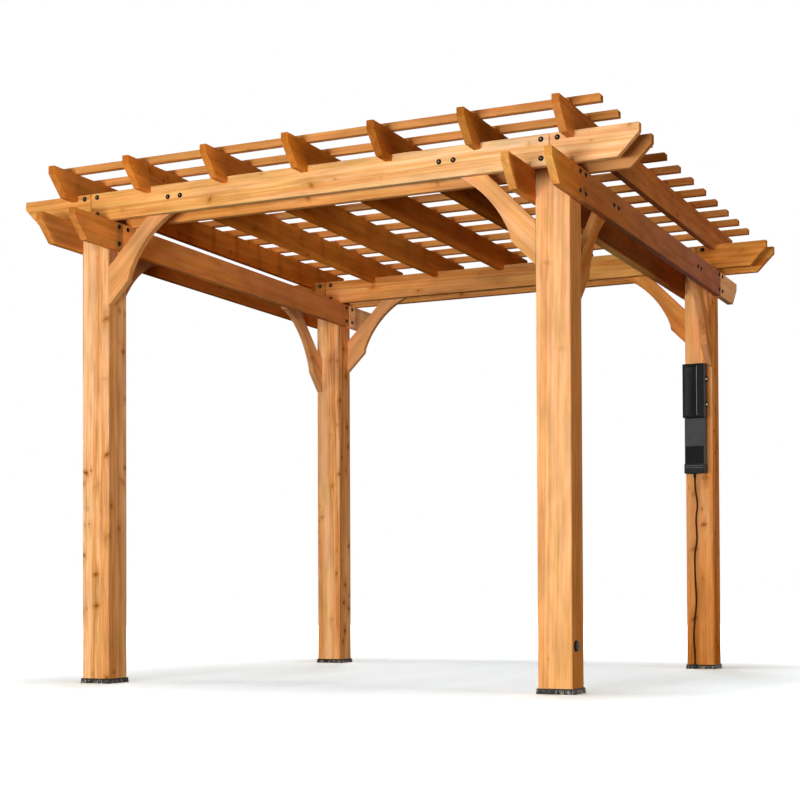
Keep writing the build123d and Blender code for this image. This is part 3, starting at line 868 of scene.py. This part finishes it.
def round_heads():
    """Heads with a washer, a raised rim and a socket, one on each point, facing along its aim."""
    sizes = {"Segments": 24, **{label: size * MM for label, size in BOLT_HEAD_MM.items()}}
    tree, given = tree_with_inputs("round_heads", sizes, ("Head material", "Core material"))
    disc = {
        "Vertices": given["Segments"],
        "Radius": given["Washer radius"],
        "Depth": given["Washer thickness"],
    }
    washer = add(tree, "GeometryNodeMeshCylinder", disc).outputs
    half = add(tree, "ShaderNodeMath", (given["Washer thickness"], 0.5), operation="MULTIPLY")
    lift = add(tree, "ShaderNodeCombineXYZ", {"Z": half})
    mesh = {"Geometry": washer["Mesh"], "Translation": lift}
    mesh = add(tree, "GeometryNodeTransform", mesh)
    products = []
    for label, share in (("Head height", UPRIGHT), ("Head height", DOMED), ("Socket depth", -1.0)):
        product = (given[label], share)
        products.append(add(tree, "ShaderNodeMath", product, operation="MULTIPLY"))
    upright, domed, sunk = products
    shoulder = add(tree, "ShaderNodeMath", (given["Head radius"], SHOULDER), operation="MULTIPLY")
    steps = (
        (0.0, given["Head radius"]),
        (upright, given["Head radius"]),
        (domed, shoulder),
        (0.0, given["Socket radius"]),
        (sunk, given["Socket radius"]),
    )
    top, radius = washer["Top"], given["Washer radius"]
    for rise, next_radius in steps:
        push = {"Mesh": mesh, "Selection": top, "Offset Scale": rise}
        pushed = add(tree, "GeometryNodeExtrudeMesh", push, mode="FACES").outputs
        top = pushed["Top"]
        ratio = add(tree, "ShaderNodeMath", (next_radius, radius), operation="DIVIDE")
        shrink = {"Geometry": pushed["Mesh"], "Selection": top, "Scale": ratio}
        mesh = add(tree, "GeometryNodeScaleElements", shrink, domain="FACE")
        radius = next_radius
    aim = add(tree, "GeometryNodeInputNamedAttribute", {"Name": "aim"}, data_type="FLOAT_VECTOR")
    turn = add(tree, "FunctionNodeAlignRotationToVector", {"Vector": aim}, axis="Z")
    copies = {"Points": given["Geometry"], "Instance": mesh, "Rotation": turn}
    copies = add(tree, "GeometryNodeInstanceOnPoints", copies)
    finish_tree(tree, copies, [(given["Head material"], True), (given["Core material"], top)])
    return tree


HEADS = round_heads()
print("tree", HEADS.name, len(HEADS.nodes), "nodes")


# %% Baking a tree into one plain piece
def bake_tree(name, mesh, tree, inputs):
    """Runs a tree on a mesh with the given inputs and keeps the result as one plain mesh piece."""
    source = bpy.data.objects.new(name, mesh)
    scene.collection.objects.link(source)
    modifier = source.modifiers.new(tree.name, "NODES")
    modifier.node_group = tree
    sockets = {s.name: s.identifier for s in tree.interface.items_tree if s.in_out == "INPUT"}
    for label, value in inputs.items():
        modifier[sockets[label]] = value
    bpy.context.view_layer.update()
    ready = source.evaluated_get(bpy.context.evaluated_depsgraph_get())
    baked = bpy.data.meshes.new_from_object(ready)
    source.modifiers.clear()
    source.data = baked
    for number in reversed(range(len(baked.materials))):
        if baked.materials[number] is None:
            baked.materials.pop(index=number)
    counts = {m.name: 0 for m in baked.materials}
    for face in baked.polygons:
        counts[baked.materials[face.material_index].name] += 1
    print(name, len(baked.polygons), "faces", counts)
    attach(source, "root")


def bake_heads(name, spots, slot, head, core, sizes_mm=(), segments=24):
    """Round heads, one on each spot: a place and the direction that it faces.

    The six sizes in mm are in the order of the bolt's, and a bolt's where they aren't given.
    """
    mesh = bpy.data.meshes.new(name)
    mesh.from_pydata([tuple(place) for place, _ in spots], [], [])
    aim = mesh.attributes.new("aim", "FLOAT_VECTOR", "POINT")
    for item, (_, direction) in zip(aim.data, spots):
        item.vector = direction
    inputs = {"Segments": segments, "Head material": head, "Core material": core}
    inputs.update({label: size * MM for label, size in zip(BOLT_HEAD_MM, sizes_mm)})
    bake_tree(name, mesh, HEADS, inputs)


print("baking ready")

# %% [markdown]
# ### Where bolts and screws go
# Four bolts go through each board at each post, two above two, and two more through the outer board
# hold the brace. The frame's own boxes give the faces that they sit on, so a loop over the corners
# finds every place. Each purlin is screwed down once into each rafter.

# %% Where the bolts go
BOLT_SIDE = 36 * MM  # from the post's centre line, either way
BOLT_ROWS = (31 * MM, 111 * MM)  # above the board's bottom edge
BRACE_BOLTS = (432 * MM, 498 * MM)  # from the post's centre line
BRACE_ROW = 72 * MM  # above the board's bottom edge
bolts = []
for end, y_sign in (("front", -1), ("back", 1)):
    for side, x_sign in (("left", -1), ("right", 1)):
        post_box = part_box(f"{end}_{side}_post")
        post_middle = (post_box[0] + post_box[1]) / 2
        # The header runs along X over the beam, which runs along Y: name, run axis, outward sign.
        for rail, run, outward in (("header", 0, y_sign), ("beam", 1, x_sign)):
            across = 1 - run
            owner = end if rail == "header" else side
            inward_run = -x_sign if rail == "header" else -y_sign
            for layer, face in (("outer", outward), ("inner", -outward)):
                low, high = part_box(f"{owner}_{rail}_{layer}_board")
                surface = high[across] if face > 0 else low[across]
                aim = [0.0, 0.0, 0.0]
                aim[across] = face
                spots = [(shift, row) for shift in (-BOLT_SIDE, BOLT_SIDE) for row in BOLT_ROWS]
                if layer == "outer":
                    spots += [(inward_run * reach, BRACE_ROW) for reach in BRACE_BOLTS]
                for shift, row in spots:
                    place = [0.0, 0.0, low.z + row]
                    place[run] = post_middle[run] + shift
                    place[across] = surface
                    bolts.append((place, aim))
# Each head's gold-brown socket is a painted highlight.
bake_heads("frame_bolts", bolts, "boot_steel", BOLT_BLACK, SOCKET_HIGHLIGHT_GOLD)
print("bolts", len(bolts))

# %% Where the purlin screws go
SCREW_HEAD_MM = (4.4, 0.4, 4.0, 0.5, 1.9, 0.7)  # in the order of BOLT_HEAD_MM
screws = []
for group in ("front_purlins", "back_purlins"):
    low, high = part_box(group)
    thickness = high.z - low.z
    pitch = (high.y - low.y - thickness) / (PURLINS - 1)
    for row in range(PURLINS):
        y = low.y + thickness / 2 + row * pitch
        for number in range(1, RAFTERS + 1):
            rafter_low, rafter_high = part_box(f"rafter_{number}")
            place = ((rafter_low.x + rafter_high.x) / 2, y, high.z)
            screws.append((place, (0, 0, 1)))
screw_look = (SCREW_BRONZE, SCREW_BRONZE, SCREW_HEAD_MM)
bake_heads("purlin_screws", screws, "boot_steel", *screw_look, segments=12)
print("screws", len(screws))

# %% [markdown]
# ## Steel, plastic and rubber
# The boots are pressed steel with a black powder coat that yard work has scuffed into upright grey
# streaks. The power unit is moulded ABS with a fine spark-eroded texture, its cover and flap are
# darker mouldings, the cord is rubber and its gland nylon. Each is one colour with a fine grit, so
# noise at the grit's own size does what a picture of the plastic would, and fits any surface.


# %% Moulded finishes
MOULD_CLOUD_MM = (90.0, 90.0, 90.0)  # a moulding's colour drifts this slowly
GRIT_STEP = (0.3, 0.7)
GRIT_SHEEN = 0.05  # how much rougher or smoother the grit makes it
FOOT_FADE = 1 * MM


def moulded(name, colour, roughness, grit_mm, relief, cloudy=0.10, gloss=0.06, foot=None):
    """A moulded skin: one colour that drifts a little, the mould's grit, a darker foot if given."""
    material = bpy.data.materials.new(name)
    tree = empty_tree(material)
    place = add(tree, "ShaderNodeTexCoord").outputs["Object"]
    cloud = stretched_noise(tree, place, MOULD_CLOUD_MM, 2.0)
    shade = (cloud, *GRIT_STEP, 1.0 - cloudy, 1.0 + cloudy)
    shade = add(tree, "ShaderNodeMapRange", shade, **EASED)
    tinted = add(tree, "ShaderNodeMix", (1.0, linear(colour), shade), **MULTIPLIED)
    if foot:
        foot_colour, foot_top = foot
        below = (along_axis(tree, 2), foot_top, foot_top + FOOT_FADE, 1.0, 0.0)
        below = add(tree, "ShaderNodeMapRange", below, **EASED)
        tinted = add(tree, "ShaderNodeMix", (below, tinted, linear(foot_colour)), **COLOURS)
    grit = stretched_noise(tree, place, (grit_mm,) * 3, 2.0)
    sheen = (grit, *GRIT_STEP, roughness - GRIT_SHEEN, roughness + GRIT_SHEEN)
    bump = {"Height": grit, "Strength": relief, "Distance": 0.2 * MM}
    surface = {
        "Base Color": tinted,
        "Roughness": add(tree, "ShaderNodeMapRange", sheen, **EASED),
        "Specular IOR Level": gloss,
        "Normal": add(tree, "ShaderNodeBump", bump),
    }
    shader = add(tree, "ShaderNodeBsdfPrincipled", surface)
    add(tree, "ShaderNodeOutputMaterial", (shader,))
    return material


LIP_HEIGHT = 52 * MM  # of the lip at the housing's foot
LIP_SHADOW = 1 * MM  # the lip's darker colour stops this far below its top
BOOT_WEAR_TOP = 21.0  # mm above the ground; tools and brooms scuff a boot below its rim
unit_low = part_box("power_unit_housing")[0]
lip_foot = ("#2D2F31", unit_low.z + LIP_HEIGHT - LIP_SHADOW)
boot_look = {"streak_mm": (5.0, 5.0, 18.0), "worn": 0.75, "top_mm": BOOT_WEAR_TOP, **DULL_COAT}
entry_look = {"streak_mm": (8.0, 8.0, 8.0), "worn": 0.4, **DULL_COAT}
shell_look = {"roughness": 0.48, "grit_mm": 1.2, "relief": 0.35, "foot": lip_foot}
FINISHES = {
    # Powder coat: baked paint, even and dull, that scuffs to grey where it is rubbed.
    "post_boots": coated_metal("scuffed black powder coat", "#1A1816", "#B2ADA5", **boot_look),
    "power_cord_entry": coated_metal("black powder coat", "#1C1D1F", "#5A5A58", **entry_look),
    # ABS: hard and matt, because the steel mould was spark eroded to a fine grit.
    "power_unit_housing": moulded("charcoal ABS, spark texture", "#4F5359", **shell_look),
    "power_unit_cover": moulded("black ABS, satin", "#1F2225", 0.36, 1.6, 0.25),
    # Polypropylene bends without cracking, so flaps are made of it; it looks soft and waxy.
    "power_unit_flap": moulded("black polypropylene", "#0E0F10", 0.42, 1.6, 0.30),
    # Nylon grips the cord, polyethylene closes the hole: both plain black with a soft sheen.
    "power_cord_gland": moulded("black nylon", "#222120", 0.45, 1.2, 0.3),
    "round_cap": moulded("black polyethylene", "#12110F", 0.4, 1.4, 0.3),
    # Neoprene: the sun has turned its black a little brown and patchy.
    "power_lead": moulded("black neoprene rubber", "#31271E", 0.55, 1.0, 0.4, 0.2),
}
for name, finish in FINISHES.items():
    if name in nodes:
        nodes[name].data.materials[0] = finish
power_lead.data.materials.append(FINISHES["power_lead"])
print("finishes", len(FINISHES))

# %% [markdown]
# ## The power unit's small parts
# Close up, the cover has a dished window of smoked plastic, darker towards the rail with painted
# shade, and a rounded rail beside it, its pale colour a painted highlight, with a black bead beside it
# as a painted shadow line. It has two hinges with bright collars, and the lip below has two pale
# beads, painted highlights. Beads are a round section swept along a line, so a second Geometry Nodes
# tree does just that. Collars, grip rings and the face of the round cap are round heads again, with
# other sizes.

# %% Finishes of the small parts
# Pale, smoother ABS for the rail and the lip's beads: its pale colour is a painted highlight.
HIGHLIGHT_ABS = moulded("pale ABS, painted highlight", "#7C8188", 0.35, 1.4, 0.2)
# A deep black bead beside the rail is a painted shadow line; acetal is a hard slippery plastic for
# hinges, deep black too.
SHADOW_LINE_BLACK = moulded("black painted shadow line", "#08090A", 0.5, 1.4, 0.2)
KNUCKLE_BLACK = moulded("black acetal", "#0C0D0E", 0.4, 1.4, 0.2)
# Nickel plate: bright grey with a soft shine.
NICKEL = coated_metal("nickel plated steel", "#9C9892", "#CCC8C2", (2.0,) * 3, 0.5, 0.5, 0.4)
# The cap's face is a paler grey than its black rim.
CAP_FACE = moulded("pale grey polyethylene", "#5A5D58", 0.45, 1.2, 0.3, 0.3)
# The window gets darker towards the rail: painted shade of its dish.
DARKEST_SHARE = 0.8  # the share of the window's width at which it looks darkest
HAZE_MM = (18.0, 18.0, 30.0)
HAZE = 0.3  # how much the haze in the plastic changes that


def window_with_painted_shade(low, high):
    """Smoked polycarbonate with painted shade: darker towards the rail, where the dish is deepest."""
    material = bpy.data.materials.new("smoked polycarbonate, painted shade")
    tree = empty_tree(material)
    place = add(tree, "ShaderNodeTexCoord").outputs["Object"]
    # Painted shade: darker from the left edge towards the rail.
    depth = (along_axis(tree, 0), low.x, low.x + (high.x - low.x) * DARKEST_SHARE)
    depth = add(tree, "ShaderNodeMapRange", depth, **EASED)
    haze = stretched_noise(tree, place, HAZE_MM, 2.0)
    depth = add(tree, "ShaderNodeMath", (haze, HAZE, depth), operation="MULTIPLY_ADD")
    colour = add(tree, "ShaderNodeMix", (depth, linear("#303438"), linear("#0B0D0E")), **COLOURS)
    surface = {"Base Color": colour, "Roughness": 0.3, "Specular IOR Level": 0.1}
    shader = add(tree, "ShaderNodeBsdfPrincipled", surface)
    add(tree, "ShaderNodeOutputMaterial", (shader,))
    return material


print("small finishes ready")


# %% The tree that sweeps round beads
def round_beads():
    """A closed rod of round section along every edge it is given."""
    sizes = {"Radius": 2.2 * MM, "Sides": 12}
    tree, given = tree_with_inputs("round_beads", sizes, ("Bead material",))
    path = add(tree, "GeometryNodeMeshToCurve", {"Mesh": given["Geometry"]})
    circle = {"Resolution": given["Sides"], "Radius": given["Radius"]}
    section = add(tree, "GeometryNodeCurvePrimitiveCircle", circle)
    sweep = {"Curve": path, "Profile Curve": section, "Fill Caps": True}
    rods = add(tree, "GeometryNodeCurveToMesh", sweep)
    finish_tree(tree, rods, [(given["Bead material"], True)])
    return tree


BEADS = round_beads()


def bake_beads(name, lines, radius, material):
    """A bead along each line, from its start to its end."""
    mesh = bpy.data.meshes.new(name)
    corners = [corner for line in lines for corner in line]
    mesh.from_pydata(corners, [(2 * i, 2 * i + 1) for i in range(len(lines))], [])
    bake_tree(name, mesh, BEADS, {"Radius": radius, "Bead material": material})


print("tree", BEADS.name, len(BEADS.nodes), "nodes")

# %% Rail on the cover and beads on the lip, with painted highlights and a painted shadow line
PANEL_BORDER = 12 * MM  # the cover's frame round its sunk panel
RAIL_SHIFT = 21 * MM  # from the cover's centre line
RAIL_SINK = 0.3 * MM  # how far a bead's centre line lies behind the face that carries it
# The black bead beside the rail is a painted shadow line.
SHADOW_LINE_SHIFT = 5 * MM  # from the rail
SHADOW_LINE_SINK = 1 * MM  # behind the rail
LIP_BEAD_HEIGHTS = (41 * MM, 30 * MM)
LIP_BEAD_END = 5 * MM  # from the housing's side
LIP_BEAD_SINK = 0.4 * MM
RAIL_RADIUS, SHADOW_LINE_RADIUS, LIP_BEAD_RADIUS = 2.8 * MM, 2.4 * MM, 1.5 * MM
cover_low, cover_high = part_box("power_unit_cover")
cover_middle = (cover_low.x + cover_high.x) / 2
rail_x = cover_middle + RAIL_SHIFT
rail_y = cover_low.y + RAIL_SINK
rail_ends = (cover_low.z + PANEL_BORDER, cover_high.z - PANEL_BORDER)
rail = tuple((rail_x, rail_y, z) for z in rail_ends)
shadow_line = tuple((rail_x + SHADOW_LINE_SHIFT, rail_y + SHADOW_LINE_SINK, z) for z in rail_ends)
# The rail's pale bead is a painted highlight.
bake_beads("cover_rail_highlight", [rail], RAIL_RADIUS, HIGHLIGHT_ABS)
# The black bead beside the rail is a painted shadow line.
bake_beads("cover_shadow_line", [shadow_line], SHADOW_LINE_RADIUS, SHADOW_LINE_BLACK)

lip_half = cover_middle - unit_low.x - LIP_BEAD_END
lip_y = unit_low.y + LIP_BEAD_SINK
lip_lines = []
for height in LIP_BEAD_HEIGHTS:
    z = unit_low.z + height
    lip_lines.append(tuple((cover_middle + side * lip_half, lip_y, z) for side in (-1, 1)))
# The lip's two pale beads are painted highlights.
bake_beads("lip_bead_highlights", lip_lines, LIP_BEAD_RADIUS, HIGHLIGHT_ABS)

# %% [markdown]
# ### The dished window
# The window is a moulded tray: its front sinks from the edges to the middle. A grid of points whose
# depth follows a sine both ways gives that curve, and a flat back and a rim close it into a plate.

# %% The dished window
WINDOW_FIT = 0.3 * MM  # a hair of room on every side
DISH_DEPTH = 3.0 * MM
PANEL_DEPTH = 4.0 * MM  # how far the panel is sunk in the cover
RAIL_HALF = 2 * MM  # of the rib under the rail
BACK_GAP = 0.1 * MM  # between the plate's back and the panel


def dished_plate(name, low, high, depth, columns=16, rows=28):
    """A closed plate whose front sinks towards its middle like a shallow tray."""
    corners = []
    for row in range(rows + 1):
        for column in range(columns + 1):
            u, v = column / columns, row / rows
            sink = depth * math.sqrt(math.sin(math.pi * u)) * math.sqrt(math.sin(math.pi * v))
            x, z = low.x + u * (high.x - low.x), low.z + v * (high.z - low.z)
            corners.append((x, low.y + sink, z))
    count = len(corners)
    corners += [(x, high.y, z) for x, _, z in corners]
    faces = []
    wide = columns + 1
    for row in range(rows):
        for column in range(columns):
            first = row * wide + column
            front = (first, first + 1, first + 1 + wide, first + wide)
            faces.append(front)
            faces.append(tuple(count + i for i in reversed(front)))
    rim = list(range(columns))
    rim += [row * wide + columns for row in range(rows)]
    rim += [rows * wide + i for i in range(columns, 0, -1)]
    rim += [row * wide for row in range(rows, 0, -1)]
    for here, there in zip(rim, rim[1:] + rim[:1]):
        faces.append((there, here, count + here, count + there))
    mesh = bpy.data.meshes.new(name)
    mesh.from_pydata(corners, [], faces)
    for face in mesh.polygons:
        face.use_smooth = True
    plate = bpy.data.objects.new(name, mesh)
    scene.collection.objects.link(plate)
    return plate


window_left = cover_low.x + PANEL_BORDER + WINDOW_FIT
window_right = rail_x - RAIL_HALF - WINDOW_FIT
window_back = cover_low.y + PANEL_DEPTH - BACK_GAP
window_low = Vector((window_left, cover_low.y + WINDOW_FIT, rail_ends[0] + WINDOW_FIT))
window_high = Vector((window_right, window_back, rail_ends[1] - WINDOW_FIT))
cover_window = dished_plate("cover_window", window_low, window_high, DISH_DEPTH)
cover_window.data.materials.append(window_with_painted_shade(window_low, window_high))
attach(cover_window, "root")
print("window", [round(v / MM, 1) for v in window_high - window_low], "mm")

# %% [markdown]
# ### Hinges, grip rings and the round cap
# Each of these is a disc or a short barrel with steps, which is what the tree of round heads makes.
# So they are more of the same heads, with a long washer for a barrel and a wide one for the cap.

# %% Hinge barrels and collars
HINGE_DROPS = (82 * MM, 222 * MM)  # below the cover's top
HINGE_BACK = 10 * MM  # in front of the cover's back edge
BARREL_MM = (6.5, 28.0)  # radius and length
COLLAR_MM = (7.5, 8.0)
HINGE_EDGE_MM = 0.6
HINGE_PIN_MM = (2.5, 0.4)  # radius, and how far the pin is sunk in the end
hinge_x, hinge_y = cover_high.x, cover_high.y - HINGE_BACK


def hinge_rounds(name, radius, length, material, slot):
    """One plain barrel at each hinge, its middle on the hinge's height."""
    middles = [cover_high.z - drop - length * MM / 2 for drop in HINGE_DROPS]
    spots = [((hinge_x, hinge_y, z), (0, 0, 1)) for z in middles]
    sizes = (radius, length, radius - HINGE_EDGE_MM, HINGE_EDGE_MM, *HINGE_PIN_MM)
    bake_heads(name, spots, slot, material, material, sizes)


hinge_rounds("hinge_barrels", *BARREL_MM, KNUCKLE_BLACK, "unit_plastic")
hinge_rounds("hinge_collars", *COLLAR_MM, NICKEL, "boot_steel")

# %% Grip rings and the face of the round cap
GRIP_PITCH = 5 * MM
GRIP_MM = (8.0, 1.6, 7.4, 0.6, 5.4, 0.4)  # both in the order of BOLT_HEAD_MM
CAP_MM = (16.5, 0.8, 15.0, 1.2, 5.0, 1.6)
NYLON = FINISHES["power_cord_gland"]
grip_middle = (gland_low + gland_high) / 2
grips = []
for step in (1, 2, 3):
    grips.append(((grip_middle.x, grip_middle.y, gland_high.z - step * GRIP_PITCH), (0, 0, -1)))
bake_heads("gland_grips", grips, "cord_rubber", NYLON, NYLON, GRIP_MM)
cap_low, cap_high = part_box("round_cap")
cap_face = (cap_high.x, (cap_low.y + cap_high.y) / 2, (cap_low.z + cap_high.z) / 2)
cap_look = (CAP_FACE, FINISHES["round_cap"], CAP_MM)
bake_heads("round_cap_face", [(cap_face, (1, 0, 0))], "cap_plastic", *cap_look, segments=40)
print("cap", round(2 * CAP_MM[0], 1), "mm across")
